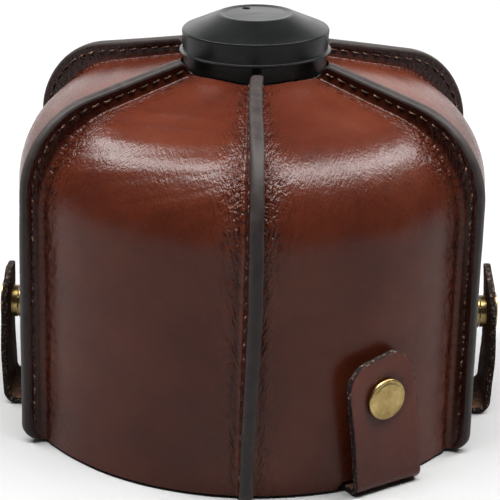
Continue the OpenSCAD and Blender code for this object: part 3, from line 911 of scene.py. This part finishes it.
# ---- threaded boss of the valve ----
def make_boss():
    """The boss with its screw thread's ridges, its flange and its bore."""
    pitch, depth, major = 0.907, 0.55, 5.556
    low, high = 84.7, BOSS_TOP
    shoulder_r, flange_r, flange_low, flange_high = 6.156, 7.2, 82.9, 83.9
    bore_r, chamber_r, chamber_top = 2.4, 4.0, 92.0
    run_in = 0.5
    segments = 96
    turn = np.arange(segments) * 2 * math.pi / segments
    heights = np.linspace(low, high, int((high - low) / pitch * 10))
    cycle = (heights[:, None] / pitch - turn[None, :] / (2 * math.pi)) % 1.0
    vee = np.clip(np.abs(cycle - 0.5) * 2 * 1.25 - 0.125, 0, 1)
    start = np.clip((heights[:, None] - low) / run_in, 0, 1)
    end = np.clip((heights[:, None] - high + run_in) / run_in, 0, 1)
    ridges = major - depth * (1 - vee) * start - run_in * end * vee
    rings = [(shoulder_r, flange_high), (shoulder_r, low)]
    rings += list(zip(ridges, heights))
    rings += [(bore_r, high), (bore_r, chamber_top), (chamber_r, chamber_top), (chamber_r, flange_low),
              (flange_r, flange_low), (flange_r, flange_high)]
    verts = [np.stack([r * np.sin(turn), -r * np.cos(turn), np.full(segments, z)], -1) for r, z in rings]
    rows = len(verts)
    faces = grid_faces(rows, segments, wrap=True).tolist()
    faces += [[(rows - 1) * segments + c, (rows - 1) * segments + (c + 1) % segments, (c + 1) % segments, c]
              for c in range(segments)]
    obj = new_object("threaded_boss", np.concatenate(verts), faces, [PLATED])
    tidy(obj, 50)
    return obj


boss = make_boss()
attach(boss, "cartridge_and_cover")
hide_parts("valve_boss")


# ---- spring under the valve stem ----
def make_spring():
    """A coil of round wire whose end turns lie closer together than the middle ones."""
    low, height, turns = 77.32, 11.04, 6
    middle, wire, around = 2.0, 0.28, 12
    u = np.linspace(0, 1, turns * 40 + 1)
    rise = low + height * (0.5 * u + 0.5 * u * u * (3 - 2 * u))
    angle = 2 * math.pi * turns * u
    line = np.stack([middle * np.cos(angle), middle * np.sin(angle), rise], -1)
    out = np.stack([np.cos(angle), np.sin(angle), 0 * angle], -1)
    ahead = np.gradient(line, axis=0)
    ahead /= np.linalg.norm(ahead, axis=1)[:, None]
    up = np.cross(ahead, out)
    ring = np.arange(around) * 2 * math.pi / around
    across, along = np.cos(ring)[None, :, None], np.sin(ring)[None, :, None]
    verts = line[:, None] + wire * (across * out[:, None] + along * up[:, None])
    rows = len(u)
    faces = grid_faces(rows, around, wrap=True).tolist()
    faces += [list(range(around)), list(range((rows - 1) * around, rows * around))]
    obj = new_object("stem_spring", verts.reshape(-1, 3), faces, [WIRE])
    tidy(obj, 60)
    return obj


spring = make_spring()
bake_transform(spring)
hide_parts("valve_spring")

# ---- CAD nodes that stay, with their materials ----
FINISHES = {
    "can_shell": ENAMEL, "can_base": ENAMEL, "valve_cup": PLATED, "cup_gasket": RUBBER,
    "valve_housing": WHITE, "stem_gasket": RUBBER, "valve_stem": GOLD,
}
for node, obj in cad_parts.items():
    finish = BRASS if node.startswith("snap_") else FINISHES.get(node)
    if finish:
        obj.data.materials.clear()
        obj.data.materials.append(finish)

# ---- camera, where the photo's camera stood ----
CAMERA_AT = Vector((-1.18, -511.12, 243.18)) * MM
PITCH, YAW, ROLL = math.radians(21.754), math.radians(0.120), math.radians(1.365)
SENSOR, LENS = 36, 159.5
forward = Vector((math.sin(YAW) * math.cos(PITCH), math.cos(YAW) * math.cos(PITCH), -math.sin(PITCH)))
right = Vector((math.cos(YAW), -math.sin(YAW), 0))
up = right.cross(forward)
right, up = math.cos(ROLL) * right + math.sin(ROLL) * up, math.cos(ROLL) * up - math.sin(ROLL) * right
camera = bpy.data.objects.new("camera", bpy.data.cameras.new("camera"))
camera.data.sensor_width = SENSOR
camera.data.lens = LENS
camera.data.clip_start = 0.01
camera.matrix_world = Matrix((
    (right.x, up.x, -forward.x, CAMERA_AT.x),
    (right.y, up.y, -forward.y, CAMERA_AT.y),
    (right.z, up.z, -forward.z, CAMERA_AT.z),
    (0, 0, 0, 1),
))
bpy.context.scene.collection.objects.link(camera)
bpy.context.scene.camera = camera

# ---- floor ----
floor_mat, nodes, links, surface = shader("floor", Roughness=0.9)
speckle = noise_node(nodes, links, 12.0, 2.0, 0.5)
pale = [(0.3, (0.31, 0.31, 0.31, 1)), (0.7, (0.325, 0.325, 0.325, 1))]
links.new(ramp_node(nodes, links, speckle, pale), surface.inputs["Base Color"])
FLOOR_HALF, FLOOR_GAP = 4000.0, 0.05
corners = np.array([(-1, -1, 0), (1, -1, 0), (1, 1, 0), (-1, 1, 0)], float) * FLOOR_HALF - [0, 0, FLOOR_GAP]
floor = new_object("floor", corners, [(0, 1, 2, 3)], [floor_mat])


# ---- lights ----
def softbox(name, place, aim, along, width, height, power):
    """A rectangular light whose width lies along a direction."""
    back = (Vector(place) - Vector(aim)).normalized()
    side = Vector(along)
    side = (side - back * side.dot(back)).normalized()
    up = back.cross(side)
    light = bpy.data.objects.new(name, bpy.data.lights.new(name, "AREA"))
    light.data.shape = "RECTANGLE"
    light.data.size, light.data.size_y = width, height
    light.data.energy = power
    light.matrix_world = Matrix((
        (side.x, up.x, back.x, place[0]),
        (side.y, up.y, back.y, place[1]),
        (side.z, up.z, back.z, place[2]),
        (0, 0, 0, 1),
    ))
    bpy.context.scene.collection.objects.link(light)


# A bent row of boxes over the object: direction in degrees and power in watts.
OVERHEADS = ((-76, 11), (-38, 14.5), (0, 17.5), (38, 14.5), (76, 11))
for k, (turn, power) in enumerate(OVERHEADS):
    reach = 1.05 if abs(turn) > 60 else 0.95
    a = math.radians(turn)
    place = (reach * math.sin(a), 0.75 - reach * math.cos(a), 1.1)
    softbox("overhead_%d" % k, place, (0, 0, 0.08), (math.cos(a), math.sin(a), 0), 0.66, 0.30, power)
softbox("backdrop", (0, 1.3, 0.45), (0, 0, 0.45), (1, 0, 0), 3.2, 0.8, 12)
world = bpy.data.worlds.new("studio")
world.use_nodes = True
world.node_tree.nodes["Background"].inputs["Color"].default_value = (1, 1, 1, 1)
world.node_tree.nodes["Background"].inputs["Strength"].default_value = 0.06
bpy.context.scene.world = world
bpy.context.scene.view_settings.view_transform = "Standard"
